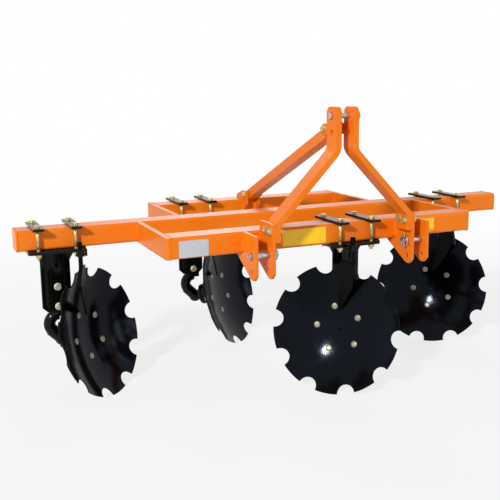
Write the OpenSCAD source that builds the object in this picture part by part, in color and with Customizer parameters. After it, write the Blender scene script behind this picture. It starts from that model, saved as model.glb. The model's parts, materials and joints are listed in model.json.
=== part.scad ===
// Four-disc ridger for a three-point linkage, parked on its discs.
// X runs along the main beam, -Y is the tractor side, Z is up from the ground.

/* [Frame] */
// Length of the main beam across the rows
beam_l = 2800; // [2700:10:3400]
// Depth of the frame tubes, front to back
tube_w = 130; // [100:1:160]
// Height of the frame tubes
tube_h = 100; // [80:1:140]
// Wall of the frame tubes
tube_wall = 8; // [4:0.5:14]
// Outer corner radius of the frame tubes
tube_round = 14; // [10:0.5:20]
// Thickness of the plates that close the main beam's ends
cap_t = 8; // [4:0.5:14]
// Length of the front bar between the outsides of its side plates
front_l = 1650; // [1400:10:2000]
// Distance from the main beam's centre line to the front bar's
front_reach = 481; // [420:1:620]
// Length of the rear bar between the outsides of its side plates
rear_l = 1180; // [1060:10:1300]
// Distance from the main beam's centre line to the rear bar's
rear_reach = 495; // [420:1:620]
// Thickness of the side plates that join the bars to the main beam
side_t = 25; // [16:1:30]
// Radius of the side plates' outer corners
side_round = 14; // [6:1:16]

/* [Discs] */
// Diameter of a disc over its teeth
disc_d = 660; // [600:5:720]
// Thickness of a disc
disc_t = 6; // [4:0.5:9]
// Depth of a disc's dish at its rim
disc_dish = 85; // [60:1:110]
// Number of notches round the rim
notch_n = 10; // [6:1:14]
// Radius of a rim notch
notch_r = 45; // [25:1:55]
// Turn of the discs from square across to the pull
disc_yaw = 45; // [35:1:55]
// Lean of the discs from upright, open side up
disc_tilt = 14.4; // [5:0.1:20]
// Drop from the frame's top to the rim's centre
disc_drop = 562; // [520:1:640]
// Number of bolts that hold a disc to its hub
hub_bolt_n = 5; // [4:1:6]
// Radius of the ring of hub bolts
hub_bolt_ring = 115; // [85:1:120]
// Diameter of a hub bolt's shank
hub_bolt_d = 16; // [12:1:20]
// Diameter of a hub bolt's round head
hub_head_d = 34; // [24:1:40]
// Radius of the hub flange
hub_flange_r = 140; // [130:1:150]
// Thickness of the hub flange
hub_flange_t = 14; // [8:1:20]
// Radius of the hub barrel
hub_r = 55; // [40:1:70]
// Length of the hub barrel behind its flange
hub_l = 85; // [60:1:95]
// Diameter of the spindle in the hub
spindle_d = 50; // [30:1:60]
// Radial running fit between spindle and hub
spindle_fit = 0.1; // [0.05:0.01:0.1]
// Free gap between the spindle's end and the bottom of the hub's bore
spindle_end = 0.6; // [0.3:0.1:0.9]

/* [Disc places] */
// Clamp centre of the left outer unit on the main beam
lo_clamp = -1216; // [-1230:1:-1150]
// Clamp centre of the left inner unit on the rear bar
li_clamp = -346; // [-380:1:-250]
// Clamp centre of the right inner unit on the front bar
ri_clamp = 125; // [110:1:150]
// Clamp centre of the right outer unit on the main beam
ro_clamp = 1020; // [980:1:1060]
// Leg beside its clamp centre, left outer unit
lo_leg = 35; // [0:1:60]
// Leg beside its clamp centre, left inner unit
li_leg = 70; // [0:1:100]
// Leg beside its clamp centre, right inner unit
ri_leg = 132; // [80:1:150]
// Leg beside its clamp centre, right outer unit
ro_leg = 180; // [120:1:200]
// Turn of the left outer disc's first notch from straight down
lo_turn = 22; // [9:1:27]
// Turn of the left inner disc's first notch from straight down
li_turn = 25; // [9:1:27]
// Turn of the right inner disc's first notch from straight down
ri_turn = 14; // [9:1:27]
// Turn of the right outer disc's first notch from straight down
ro_turn = 25; // [9:1:27]

/* [Disc units] */
// Distance between the two clamp plates of a unit
clamp_pitch = 175; // [150:1:200]
// Length of a clamp plate across its tube
clamp_l = 255; // [245:1:290]
// Width of a clamp plate
clamp_w = 50; // [40:1:60]
// Thickness of a clamp plate
clamp_t = 12; // [8:1:16]
// Diameter of a clamp bolt
clamp_bolt_d = 16; // [12:1:20]
// Clear distance from a tube's side to its clamp bolts
clamp_bolt_gap = 10; // [6:1:14]
// Width of the plate under the tube
base_w = 270; // [250:1:320]
// Thickness of the plate under the tube
base_t = 15; // [8:1:20]
// Corner radius of the plate under the tube
base_round = 18; // [6:1:24]
// Width of the leg's back plate
leg_w = 150; // [130:1:170]
// Depth of the leg
leg_d = 90; // [84:1:100]
// Thickness of the leg's plates
leg_t = 14; // [8:1:16]
// Distance from the tube's centre line back to the leg's
leg_back = 202.5; // [195:0.5:215]
// Length of the leg below the plate
leg_l = 372; // [350:1:385]
// Chamfer of the leg's lower corners
leg_chamfer = 24; // [10:1:34]
// Length of the gussets' sides beside the leg and under the plate
gusset_l = 104; // [60:1:110]
// Width of the arm's shank between the leg's cheeks
shank_w = 70; // [56:1:80]
// Thickness of the arm's shank
shank_d = 45; // [40:1:50]
// Width of the slot in the shank's head
slot_w = 18; // [10:1:26]
// Length of the slot in the shank's head
slot_l = 104; // [60:1:120]
// Radius of the arm's round section
arm_r = 30; // [24:1:31]
// Radius of the swan neck's bend
neck_r = 50; // [46:1:58]
// Radius of the knuckle that ends the arm
knuckle_r = 38; // [34:1:42]
// Distance from a disc's rim plane back to the knuckle
knuckle_reach = 245; // [240:1:270]
// Offset of the knuckle from the leg's centre
knuckle_side = 10; // [0:1:20]
// Distance between a leg's two bolts
leg_bolt_pitch = 104; // [80:1:115]
// Height of a leg's lower bolt above the leg's end
leg_bolt_rise = 38; // [36:1:60]
// Diameter of a leg bolt
leg_bolt_d = 20; // [14:1:22]

/* [Scrapers] */
// Offset of the left outer scraper bar from its clamp centre
lo_scraper = 99; // [60:1:110]
// Offset of the left inner scraper bar from its clamp centre
li_scraper = 71; // [40:1:90]
// Offset of the right inner scraper bar from its clamp centre
ri_scraper = 37; // [10:1:60]
// Offset of the right outer scraper bar from its clamp centre
ro_scraper = -30; // [-60:1:0]
// Width of the square scraper bar
scraper_bar = 18; // [16:1:24]
// Length of the scraper bar
scraper_bar_l = 125; // [110:1:150]
// Turn of a scraper blade from its disc's face
scraper_turn = 20; // [0:1:25]
// Width of the scraper blade at its root
scraper_w = 90; // [60:1:110]
// Thickness of the scraper blade
scraper_t = 8; // [5:1:12]
// Height of the blade's tip above the disc's centre
scraper_rise = 95; // [70:1:120]
// Gap between the blade's tip and the disc
scraper_gap = 18; // [12:1:30]
// Diameter of the set bolts in a scraper block
set_bolt_d = 12; // [8:1:14]

/* [Hitch] */
// Distance between the centres of the two lower clevises
hitch_spread = 825; // [780:1:870]
// Clear width of a lower clevis
clevis_gap = 70; // [55:1:90]
// Thickness of the hitch plates
hitch_t = 15; // [10:1:20]
// Distance from the front bar's face to the hitch plates' front edge
hitch_reach = 142; // [120:1:170]
// Rise of the inner hitch plates above the frame
hitch_rise = 47; // [30:1:70]
// Drop of the hitch plates below the frame's top
hitch_drop = 206; // [200:1:240]
// Chamfer at the hitch plates' lower tip
hitch_tip = 24; // [10:1:34]
// Drop of the lower pins below the frame's top
pin_drop = 95; // [85:1:105]
// Height of the top pin above the lower pins
mast_rise = 610; // [560:1:640]
// Diameter of the lower pins
lower_pin_d = 28; // [22:0.1:32]
// Diameter of the top pin
top_pin_d = 25; // [19:0.1:28]
// Diameter of the free lower bores
spare_d = 28.6; // [22:0.1:32]
// Diameter of the mast's free bore
top_spare_d = 25.6; // [19:0.1:28]
// Distance from a pin down to its free hole
spare_pitch = 76; // [60:1:84]
// Clear width between the mast bars at the top
mast_gap = 62; // [60:1:80]
// Width of a mast bar, front to back
mast_w = 90; // [80:1:105]
// Thickness of a mast bar
mast_t = 28; // [22:1:36]
// Height of the mast's top above the top pin
mast_crown = 40; // [32:1:50]
// Corner radius of the mast's top
mast_round = 30; // [10:1:40]
// Height of the mast's straight top part
mast_head = 174; // [160:1:200]
// Inner radius of the mast bars' upper bend
mast_bend = 45; // [20:1:70]
// Inner radius of the mast bars' lower bend
foot_bend = 14; // [8:1:30]
// Rise of the lower bend above the frame's top
foot_rise = 31; // [30:1:40]
// Length of the mast's foot on the hitch plate
mast_foot = 69; // [60:1:85]
// Diameter of the mast bolts
mast_bolt_d = 18; // [12:1:20]
// Diameter of a linch clip's wire
clip_d = 7; // [4:0.5:9]

/* [Stay] */
// Width of the stay tube
stay_w = 56; // [40:1:58]
// Height of the stay tube
stay_h = 50; // [44:1:60]
// Wall of the stay tube
stay_wall = 5; // [3:0.5:8]
// Thickness of the stay bracket's plates
stay_plate_t = 14; // [8:1:18]
// Drop of the stay's top bolt below the top pin
stay_drop = 62; // [50:1:70]
// Rise of the stay's foot bolt above the frame's top
stay_foot_rise = 28; // [20:1:40]
// Diameter of the stay bolts
stay_bolt_d = 18; // [12:1:20]

/* [Hidden] */
$fn = 64;
round_fn = 32;
sphere_fn = 180;
arc_n = 8;
// Cuts run past a face by this much
over = disc_t / 6;
// Shares of a bolt's diameter: head height, nut height, width over corners
head_share = 0.65;
nut_share = 0.8;
across_share = 1.8;
// Shares of a pin's diameter: head width and head height
pin_head_share = 1.25;
pin_cap_share = 0.4;
// Share of the hitch plates' reach at which the lower pins and the lower corner lie
pin_share = 0.3;
toe_share = 0.32;
// Height share of the mast bolts in the inner plates' rise
bolt_rise_share = 0.25;
// Share of the round section by which an arm's straight limb is thicker
limb_share = 1.12;
// Share of a linch clip's wire in its ring
ring_share = 0.8;
// Share of the limb's length that laps into the neck
lap_share = 0.15;
// Drop of the neck's centre as a share of its radius
neck_share = 0.5;
// Share of the round section that the shank's end hangs below the neck's start
shank_share = 0.3;
// Shares of the blade at its shoulder: of its length, and of its side run
leaf_share = 0.5;
lean_share = 0.36;
// Share of the blade's length along which the bar runs on as a rib
rib_share = 0.3;
// Shares of the stay bracket: nose by tube height, heel by the bolt's rise, skirt by frame height
nose_share = 0.9;
heel_share = 0.7;
skirt_share = 0.7;
// Height share of the scraper bar's top on the frame tube
bar_top_share = 0.35;
// Share of the gussets that the base plate's tail covers
tail_share = 0.75;
// Angle at which the neck's bend ends
neck_end = 225;
// Angle straight up in a disc's frame
bolt_turn = 90;

disc_r = disc_d / 2;
sphere_r = (disc_r * disc_r + disc_dish * disc_dish) / (2 * disc_dish);
// Thickness of a disc along its axis at the rim
rim_t = sqrt((sphere_r + disc_t) * (sphere_r + disc_t) - disc_r * disc_r) - sphere_r + disc_dish;
rim_z = disc_r * cos(disc_tilt) + rim_t * sin(disc_tilt);
top_z = rim_z + disc_drop;
under_z = top_z - tube_h;
base_z = under_z - base_t;
leg_z = base_z - leg_l;
// Share of a disc's axis that runs front to back
axis_share = cos(disc_yaw) * cos(disc_tilt);
// Reach of the whole part ahead of and behind the main beam
ahead = front_reach + tube_w / 2 + hitch_reach;
behind = rear_reach + leg_back + (rim_t - knuckle_reach) * axis_share
  + disc_r * sqrt(1 - axis_share * axis_share);
// The main beam stands so that the origin is under the middle of the part
beam_y = (ahead - behind) / 2;
front_y = beam_y - front_reach;
rear_y = beam_y + rear_reach;
front_face = front_y - tube_w / 2;
hitch_front = front_face - hitch_reach;

// Units: side (1 left, -1 right), clamp X, leg X, tube Y, scraper X, disc's turn
LO = [1, lo_clamp, lo_clamp + lo_leg, beam_y, lo_clamp + lo_scraper, lo_turn];
LI = [1, li_clamp, li_clamp + li_leg, rear_y, li_clamp + li_scraper, li_turn];
RI = [-1, ri_clamp, ri_clamp + ri_leg, front_y, ri_clamp - ri_scraper, ri_turn];
RO = [-1, ro_clamp, ro_clamp + ro_leg, beam_y, ro_clamp - ro_scraper, ro_turn];
UNITS = [LO, LI, RI, RO];
function u_side(u) = u[0];
function u_clamp(u) = u[1];
function u_leg(u) = u[2];
function u_tube(u) = u[3];
function u_bar(u) = u[4];
function u_turn(u) = u[5];
// Direction of a disc's open side
function u_n(u) = [u_side(u) * sin(disc_yaw) * cos(disc_tilt), -axis_share, sin(disc_tilt)];
// Direction up within a disc's rim plane
function u_up(u) = [
  -u_side(u) * sin(disc_yaw) * sin(disc_tilt),
  cos(disc_yaw) * sin(disc_tilt),
  cos(disc_tilt)
];
function u_knuckle(u) = [
  u_leg(u) + u_side(u) * knuckle_side,
  u_tube(u) + leg_back,
  rim_z - sin(disc_tilt) * knuckle_reach
];
function u_rim(u) = u_knuckle(u) + knuckle_reach * u_n(u);

hub_face = disc_dish + disc_t;
hub_back = hub_face + hub_flange_t + hub_l;
clamp_y = tube_w / 2 + clamp_bolt_gap + clamp_bolt_d / 2;
base_front = clamp_y + clamp_bolt_d;
scraper_y = base_front + scraper_bar;
scraper_top = under_z + tube_h * bar_top_share;
lower_pin_z = top_z - pin_drop;
lower_pin_y = hitch_front + hitch_reach * pin_share;
top_pin_z = lower_pin_z + mast_rise;
mast_top = top_pin_z + mast_crown;
mast_y = hitch_front + mast_w / 2;
inner_x = hitch_spread / 2 - clevis_gap / 2 - hitch_t;
outer_x = hitch_spread / 2 + clevis_gap / 2;
foot_top = top_z + foot_rise;
bend_z = mast_top - mast_head;
stay_top_y = mast_y + mast_w / 2 + stay_h / 2;
stay_top_z = top_pin_z - stay_drop;
rear_face = rear_y - tube_w / 2;
stay_foot_y = rear_face - stay_h / 2;
stay_foot_z = top_z + stay_foot_rise;
stay_run = stay_foot_y - stay_top_y;
stay_fall = stay_top_z - stay_foot_z;

paint = [0.94, 0.47, 0.12];
black = [0.06, 0.06, 0.07];
zinc = [0.80, 0.72, 0.45];
steel = [0.62, 0.62, 0.62];

// Box centred on X and Y, standing on z = 0
module post(w, d, h) {
  translate([-w / 2, -d / 2, 0]) cube([w, d, h]);
}

// Round bar along X, centred
module rod_x(d, l) {
  rotate([0, 90, 0]) cylinder(d = d, h = l, center = true);
}

// Round bar along Y, centred
module rod_y(d, l) {
  rotate([90, 0, 0]) cylinder(d = d, h = l, center = true);
}

// Hexagon standing on z = 0
module hex(d, h) {
  cylinder(d = d * across_share, h = h, $fn = 6);
}

// Bolt along X through a grip of length l, centred
module bolt_x(d, l) {
  rod_x(d, l + 2 * d * nut_share);
  translate([l / 2, 0, 0]) rotate([0, 90, 0]) hex(d, d * head_share);
  translate([-l / 2, 0, 0]) rotate([0, -90, 0]) hex(d, d * head_share);
}

// Rectangle with round corners
module rounded(w, h, r) {
  hull() for (x = [-1, 1], y = [-1, 1])
    translate([x * (w / 2 - r), y * (h / 2 - r)]) circle(r = r, $fn = round_fn);
}

// Outline of the frame tubes, drawn in Y and Z
module tube_outline() {
  rounded(tube_w, tube_h, tube_round);
}

// Rectangular tube along X
module tube_x(y, l) {
  bore_round = max(tube_round - tube_wall, tube_wall / 4);
  translate([0, y, top_z - tube_h / 2]) rotate([90, 0, 90]) linear_extrude(l, center = true)
    difference() {
      tube_outline();
      rounded(tube_w - 2 * tube_wall, tube_h - 2 * tube_wall, bore_round);
    }
}

module main_beam() {
  color(paint) tube_x(beam_y, beam_l - 2 * cap_t);
}

module beam_caps() {
  color(paint) for (s = [-1, 1])
    translate([s * (beam_l - cap_t) / 2, beam_y, top_z - tube_h / 2]) rotate([90, 0, 90])
      linear_extrude(cap_t, center = true) tube_outline();
}

module front_bar() {
  color(paint) tube_x(front_y, front_l - 2 * side_t);
}

module rear_bar() {
  color(paint) tube_x(rear_y, rear_l - 2 * side_t);
}

// Left plate on edge from its bar's outer face to the main beam, outer corner round
module side_plate(l, reach) {
  far = reach + tube_w / 2;
  corner = [side_round - l / 2, side_round - far];
  translate([0, 0, under_z]) linear_extrude(tube_h) polygon(concat(
    arc(corner, side_round, 180, 270),
    [[side_t - l / 2, -far], [side_t - l / 2, -tube_w / 2], [-l / 2, -tube_w / 2]]
  ));
}

module front_sides() {
  color(paint) translate([0, beam_y, 0]) for (s = [0, 1]) mirror([s, 0, 0]) side_plate(front_l, front_reach);
}

module rear_sides() {
  color(paint) translate([0, beam_y, 0]) for (s = [0, 1]) mirror([s, 0, 0]) mirror([0, 1, 0])
    side_plate(rear_l, rear_reach);
}

// Side view of a hitch plate: Y along the first axis, Z along the second
module hitch_outline(rise) {
  polygon([
    [front_face, under_z],
    [front_face, top_z + rise],
    [hitch_front, top_z + rise],
    [hitch_front, top_z - hitch_drop + hitch_tip],
    [hitch_front + hitch_tip, top_z - hitch_drop],
    [hitch_front + hitch_reach * toe_share, top_z - hitch_drop],
    [front_y + tube_w / 4, under_z]
  ]);
}

module hitch_plate(x, rise) {
  through = hitch_t + 2 * over;
  translate([x, 0, 0]) difference() {
    rotate([90, 0, 90]) linear_extrude(hitch_t) hitch_outline(rise);
    translate([hitch_t / 2, lower_pin_y, lower_pin_z]) rod_x(lower_pin_d, through);
    translate([hitch_t / 2, lower_pin_y, lower_pin_z - spare_pitch]) rod_x(spare_d, through);
    if (rise > 0) translate([hitch_t / 2, 0, 0]) at_mast_bolts() rod_x(mast_bolt_d, through);
  }
}

// The two bolts that hold a mast foot to its plate
module at_mast_bolts() {
  for (s = [-1, 1])
    translate([0, mast_y + s * mast_w / 4, top_z + hitch_rise * bolt_rise_share]) children();
}

module hitch_outer() {
  color(paint) {
    hitch_plate(outer_x, 0);
    hitch_plate(-outer_x - hitch_t, 0);
  }
}

module hitch_inner() {
  color(paint) {
    hitch_plate(inner_x, hitch_rise);
    hitch_plate(-inner_x - hitch_t, hitch_rise);
  }
}

// Headed pin along X with its head's seat at x = 0, the pin towards -X and a clip hole in its tail
module headed_pin(d, l) {
  difference() {
    translate([-l / 2, 0, 0]) rod_x(d, l);
    translate([pin_tail / 2 - l, 0, 0])
      cylinder(d = clip_d * limb_share + 2 * spindle_fit, h = 2 * d, center = true);
  }
  rotate([0, 90, 0]) cylinder(d = d * pin_head_share, h = d * pin_cap_share);
}

// Length of pin beyond its last plate, for the linch clip
pin_tail = 4 * clip_d;

module lower_pins() {
  grip = clevis_gap + 2 * hitch_t;
  color(steel) for (s = [0, 1]) mirror([s, 0, 0])
    translate([outer_x + hitch_t, lower_pin_y, lower_pin_z]) headed_pin(lower_pin_d, grip + pin_tail);
}

module top_pin() {
  grip = mast_gap + 2 * mast_t;
  color(steel) mirror([1, 0, 0]) translate([grip / 2, mast_y, top_pin_z])
    headed_pin(top_pin_d, grip + pin_tail);
}

// Linch clip: a wire pin across the end of a pin and a ring round it
module clip(d) {
  ring_r = d / 2 + 2 * clip_d;
  cylinder(d = clip_d * limb_share, h = 2 * ring_r + 2 * clip_d, center = true);
  rotate([0, 90, 0]) rotate_extrude() translate([ring_r, 0]) circle(d = clip_d * ring_share);
}

module clips() {
  color(steel) {
    for (s = [0, 1]) mirror([s, 0, 0])
      translate([inner_x - pin_tail / 2, lower_pin_y, lower_pin_z]) clip(lower_pin_d);
    translate([mast_gap / 2 + mast_t + pin_tail / 2, mast_y, top_pin_z]) clip(top_pin_d);
  }
}

// Points on an arc about c
function arc(c, r, a0, a1) = [
  for (i = [0 : arc_n]) let (a = a0 + (a1 - a0) * i / arc_n) c + r * [cos(a), sin(a)]
];

// Front view of the right mast bar, bent twice: X along the first axis, Z along the second
module mast_outline() {
  x0 = mast_gap / 2;
  x1 = inner_x - mast_t;
  wide = mast_bend + mast_t;
  foot_wide = foot_bend + mast_t;
  both = foot_bend + wide;
  drop = bend_z - foot_top;
  reach = x1 - x0;
  straight = sqrt((both - reach) * (both - reach) + drop * drop - both * both);
  lean = atan2(drop, both - reach) - atan2(straight, both);
  upper = [x0 + wide, bend_z];
  lower = [x1 - foot_bend, foot_top];
  foot_z = foot_top - mast_foot;
  polygon(concat(
    [[x0, mast_top]],
    arc(upper, wide, 180, 180 + lean),
    arc(lower, foot_bend, lean, 0),
    [[x1, foot_z], [x1 + mast_t, foot_z]],
    arc(lower, foot_wide, 0, lean),
    arc(upper, mast_bend, 180 + lean, 180),
    [[x0 + mast_t, mast_top]]
  ));
}

// What is cut from a mast bar's rear top corner
module mast_corner(across) {
  translate([0, mast_w / 2 - mast_round, -mast_round]) difference() {
    cube([across, mast_round + over, mast_round + over]);
    rod_x(2 * mast_round, 2 * across + over);
  }
}

// Right mast bar with its round-cornered head, its two pin bores and the stay's ear
module mast_bar() {
  across = 2 * (mast_gap + mast_t);
  difference() {
    translate([0, mast_y + mast_w / 2, 0]) rotate([90, 0, 0]) linear_extrude(mast_w) mast_outline();
    translate([0, mast_y, top_pin_z]) rod_x(top_pin_d, across);
    translate([0, mast_y, top_pin_z - spare_pitch]) rod_x(top_spare_d, across);
    translate([inner_x, 0, 0]) at_mast_bolts() rod_x(mast_bolt_d, 2 * mast_t + over);
    for (s = [0, 1]) translate([0, mast_y, mast_top]) mirror([0, s, 0]) mast_corner(across);
  }
  translate([mast_gap / 2, 0, 0]) stay_ear();
}

// Ear behind a mast bar that takes the stay's top bolt
module stay_ear() {
  r = stay_top_y - mast_y - mast_w / 2;
  difference() {
    union() {
      translate([0, mast_y + mast_w / 2 - over, stay_top_z - r]) cube([mast_t, r + over, 2 * r]);
      translate([mast_t / 2, stay_top_y, stay_top_z]) rod_x(2 * r, mast_t);
    }
    translate([mast_t / 2, stay_top_y, stay_top_z]) rod_x(stay_bolt_d, mast_t + 2 * over);
  }
}

module mast_right() {
  color(paint) mast_bar();
}

module mast_left() {
  color(paint) mirror([1, 0, 0]) mast_bar();
}

module mast_bolts() {
  color(zinc) for (s = [0, 1]) mirror([s, 0, 0])
    translate([inner_x + (hitch_t - mast_t) / 2, 0, 0]) at_mast_bolts()
      bolt_x(mast_bolt_d, hitch_t + mast_t);
}

// Rectangular tube between the mast's ears and the rear bracket
module stay() {
  slope = atan2(stay_fall, stay_run);
  span = norm([stay_run, stay_fall]);
  end = stay_h / 2 + stay_wall;
  through = stay_w + 2 * over;
  color(paint) translate([0, stay_top_y, stay_top_z]) rotate([-slope, 0, 0]) difference() {
    translate([-stay_w / 2, -end, -stay_h / 2]) cube([stay_w, span + 2 * end, stay_h]);
    translate([stay_wall - stay_w / 2, -end - over, stay_wall - stay_h / 2])
      cube([stay_w - 2 * stay_wall, span + 2 * end + 2 * over, stay_h - 2 * stay_wall]);
    rod_x(stay_bolt_d, through);
    translate([0, span, 0]) rod_x(stay_bolt_d, through);
  }
}

// Side view of a stay bracket's plate: Y along the first axis, Z along the second
module stay_bracket_outline() {
  nose = stay_h * nose_share;
  polygon([
    [rear_face, top_z],
    [rear_y + tube_w / 4, top_z],
    [rear_y + tube_w / 4, top_z + stay_foot_rise * heel_share],
    [rear_face + nose / 4, stay_foot_z + nose / 2],
    [rear_face - nose, stay_foot_z + nose / 2],
    [rear_face - nose, top_z - tube_h / 4],
    [rear_face, top_z - tube_h * skirt_share]
  ]);
}

module stay_bracket() {
  gap = (mast_gap - stay_w) / 2;
  color(paint) for (s = [0, 1]) mirror([s, 0, 0]) translate([stay_w / 2 + gap, 0, 0]) difference() {
    rotate([90, 0, 90]) linear_extrude(stay_plate_t) stay_bracket_outline();
    translate([stay_plate_t / 2, stay_foot_y, stay_foot_z])
      rod_x(stay_bolt_d, stay_plate_t + 2 * over);
  }
}

module stay_bolts() {
  color(zinc) {
    translate([0, stay_top_y, stay_top_z]) bolt_x(stay_bolt_d, mast_gap + 2 * mast_t);
    translate([0, stay_foot_y, stay_foot_z]) bolt_x(stay_bolt_d, mast_gap + 2 * stay_plate_t);
  }
}

// Places of a unit's four clamp bolts
module at_clamp_bolts(u) {
  for (s = [-1, 1], t = [-1, 1])
    translate([u_clamp(u) + s * clamp_pitch / 2, u_tube(u) + t * clamp_y, 0]) children();
}

module clamp_plates() {
  color(black) for (u = UNITS, s = [-1, 1]) difference() {
    translate([u_clamp(u) + s * clamp_pitch / 2, u_tube(u), top_z]) post(clamp_w, clamp_l, clamp_t);
    translate([0, 0, top_z - over]) at_clamp_bolts(u)
      cylinder(d = clamp_bolt_d, h = clamp_t + 2 * over);
  }
}

module clamp_bolts() {
  nut = clamp_bolt_d * nut_share;
  grip = top_z + clamp_t - base_z;
  color(zinc) for (u = UNITS) at_clamp_bolts(u) translate([0, 0, base_z]) {
    translate([0, 0, -2 * nut]) cylinder(d = clamp_bolt_d, h = grip + 2 * nut);
    translate([0, 0, grip]) hex(clamp_bolt_d, clamp_bolt_d * head_share);
    translate([0, 0, -nut]) hex(clamp_bolt_d, nut);
  }
}

// Plan of a base plate about its clamp centre: wide under the tube, a tail that carries the leg
module base_outline(u) {
  x = u_leg(u) - u_clamp(u);
  tail = leg_w / 2 + gusset_l * tail_share;
  rear = leg_back + leg_d / 2;
  r = base_round;
  hull() {
    for (s = [-1, 1]) {
      translate([s * (base_w / 2 - r), r - base_front]) circle(r = r, $fn = round_fn);
      translate([x + s * (tail - r), rear - r]) circle(r = r, $fn = round_fn);
    }
    for (s = [-1, 1]) translate([s * (base_w / 2 - r), base_front - r]) circle(r = r, $fn = round_fn);
  }
}

module base_plates() {
  color(black) for (u = UNITS) difference() {
    translate([u_clamp(u), u_tube(u), base_z]) linear_extrude(base_t) base_outline(u);
    translate([0, 0, base_z - over]) at_clamp_bolts(u)
      cylinder(d = clamp_bolt_d, h = base_t + 2 * over);
  }
}

// The foot of a unit's leg
module at_leg(u) {
  translate([u_leg(u), u_tube(u) + leg_back, leg_z]) children();
}

module at_leg_bolts(u) {
  for (k = [0, 1])
    at_leg(u) translate([0, 0, leg_bolt_rise + k * leg_bolt_pitch]) children();
}

// Front view of the leg's back plate, lower corners cut
module leg_outline() {
  w = leg_w / 2;
  polygon([
    [-w, leg_l],
    [w, leg_l],
    [w, leg_chamfer],
    [w - leg_chamfer, 0],
    [leg_chamfer - w, 0],
    [-w, leg_chamfer]
  ]);
}

// Gusset at the right corner of leg and base plate, its free edge slightly hollow
module gusset() {
  g = gusset_l;
  far = 2 * g;
  translate([leg_w / 2, leg_d / 2, leg_l]) rotate([90, 0, 0]) linear_extrude(leg_t) polygon(concat(
    [[-leg_t, 0]],
    arc([far, -far], norm([g, far]), atan2(far, g - far), atan2(far - g, -far)),
    [[-leg_t, -g]]
  ));
}

// Back plate with two cheeks that hold the shank
module leg() {
  cheek_x = shank_w / 2 + over / 2;
  translate([0, leg_d / 2, 0]) rotate([90, 0, 0]) linear_extrude(leg_t) leg_outline();
  for (s = [-1, 1]) {
    translate([s * (cheek_x + leg_t / 2), leg_d / 2 - leg_t - shank_d / 2, leg_chamfer])
      post(leg_t, shank_d, leg_l - leg_chamfer);
    mirror([s > 0 ? 0 : 1, 0, 0]) gusset();
  }
}

module legs() {
  color(black) for (u = UNITS) difference() {
    at_leg(u) leg();
    at_leg_bolts(u) rod_y(leg_bolt_d, 2 * leg_d);
  }
}

module leg_bolts() {
  nut = leg_bolt_d * nut_share;
  front = leg_d / 2 - leg_t - shank_d;
  color(zinc) for (u = UNITS) at_leg_bolts(u) {
    translate([0, leg_d / 2 + nut, 0]) rotate([90, 0, 0])
      cylinder(d = leg_bolt_d, h = leg_d / 2 + nut - front);
    translate([0, leg_d / 2 + nut, 0]) rotate([90, 0, 0]) hex(leg_bolt_d, nut);
    translate([0, front, 0]) rotate([90, 0, 0]) hex(leg_bolt_d, leg_bolt_d * head_share);
  }
}

// Frame of a disc: origin at the rim's centre, Z towards the open side
module at_disc(u) {
  translate(u_rim(u)) rotate([90 - disc_tilt, 0, u_side(u) * disc_yaw]) children();
}

// The same frame turned with the disc
module at_turned(u) {
  at_disc(u) rotate([0, 0, u_turn(u)]) children();
}

// Flat shank between the leg's cheeks, slotted at its head
module shank(foot_z) {
  y = leg_d / 2 - leg_t - shank_d / 2;
  head = leg_l - foot_z - leg_t / 2;
  translate([0, y, foot_z]) difference() {
    post(shank_w, shank_d, head);
    translate([0, 0, head - slot_l - slot_w]) post(slot_w, 2 * shank_d, slot_l);
  }
}

// Swan neck from the shank to the knuckle, then the spindle
module arm(u) {
  neck_z = -arm_r - neck_r * neck_share;
  knuckle = u_knuckle(u);
  centre = [u_leg(u), u_tube(u) + leg_back, leg_z + neck_z];
  from = centre + neck_r * [u_side(u) * cos(neck_end), 0, sin(neck_end)];
  run = knuckle - from;
  difference() {
    at_leg(u) shank(neck_z + neck_r - arm_r * shank_share);
    at_leg_bolts(u) rod_y(leg_bolt_d, 2 * leg_d);
  }
  translate(centre) rotate([90, 0, 0]) mirror([u_side(u) > 0 ? 0 : 1, 0, 0]) rotate([0, 0, 90])
    rotate_extrude(angle = neck_end - 90) translate([neck_r, 0]) circle(r = arm_r);
  translate(from - lap_share * run) rotate([0, atan2(run[0], run[2]), 0])
    cylinder(r = arm_r * limb_share, h = (1 + lap_share) * norm(run));
  translate(knuckle) sphere(r = knuckle_r);
  at_disc(u) translate([0, 0, -knuckle_reach])
    cylinder(d = spindle_d, h = knuckle_reach - hub_face - hub_flange_t - spindle_end);
}

module arms() {
  color(black) for (u = UNITS) arm(u);
}

// Square socket on the base plate's front edge with two set bolts at its outer side
module scraper_block() {
  w = 2 * scraper_bar;
  h = base_t + scraper_bar;
  difference() {
    post(w, w, h);
    translate([0, 0, -over]) post(scraper_bar, scraper_bar, h + 2 * over);
  }
  for (k = [1, 3])
    translate([w / 2, 0, k * h / 4]) rotate([0, 90, 0]) {
      cylinder(d = set_bolt_d, h = set_bolt_d);
      translate([0, 0, set_bolt_d / 2]) hex(set_bolt_d, set_bolt_d * head_share);
    }
}

// Where a unit's scraper bar crosses the base plate's underside
function u_scraper(u) = [u_bar(u), u_tube(u) - scraper_y, base_z];

module scraper_blocks() {
  color(black) for (u = UNITS)
    translate(u_scraper(u) - [0, 0, scraper_bar]) mirror([u_side(u) > 0 ? 0 : 1, 0, 0]) scraper_block();
}

// Blade in X and Z from its root at the bar: straight inner edge, cut outer edge, tip at the far end
module leaf(run, l) {
  hand = run > 0 ? 1 : -1;
  edge = scraper_bar / 2 + scraper_t;
  rotate([90, 0, 0]) linear_extrude(scraper_t, center = true) mirror([hand > 0 ? 0 : 1, 0, 0]) polygon([
    [-edge, 0],
    [lean_share * abs(run) - edge, l * leaf_share],
    [abs(run) - scraper_t, l],
    [abs(run) + scraper_t, l],
    [scraper_w - edge, 0]
  ]);
  post(scraper_bar, scraper_bar, l * rib_share);
}

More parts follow.
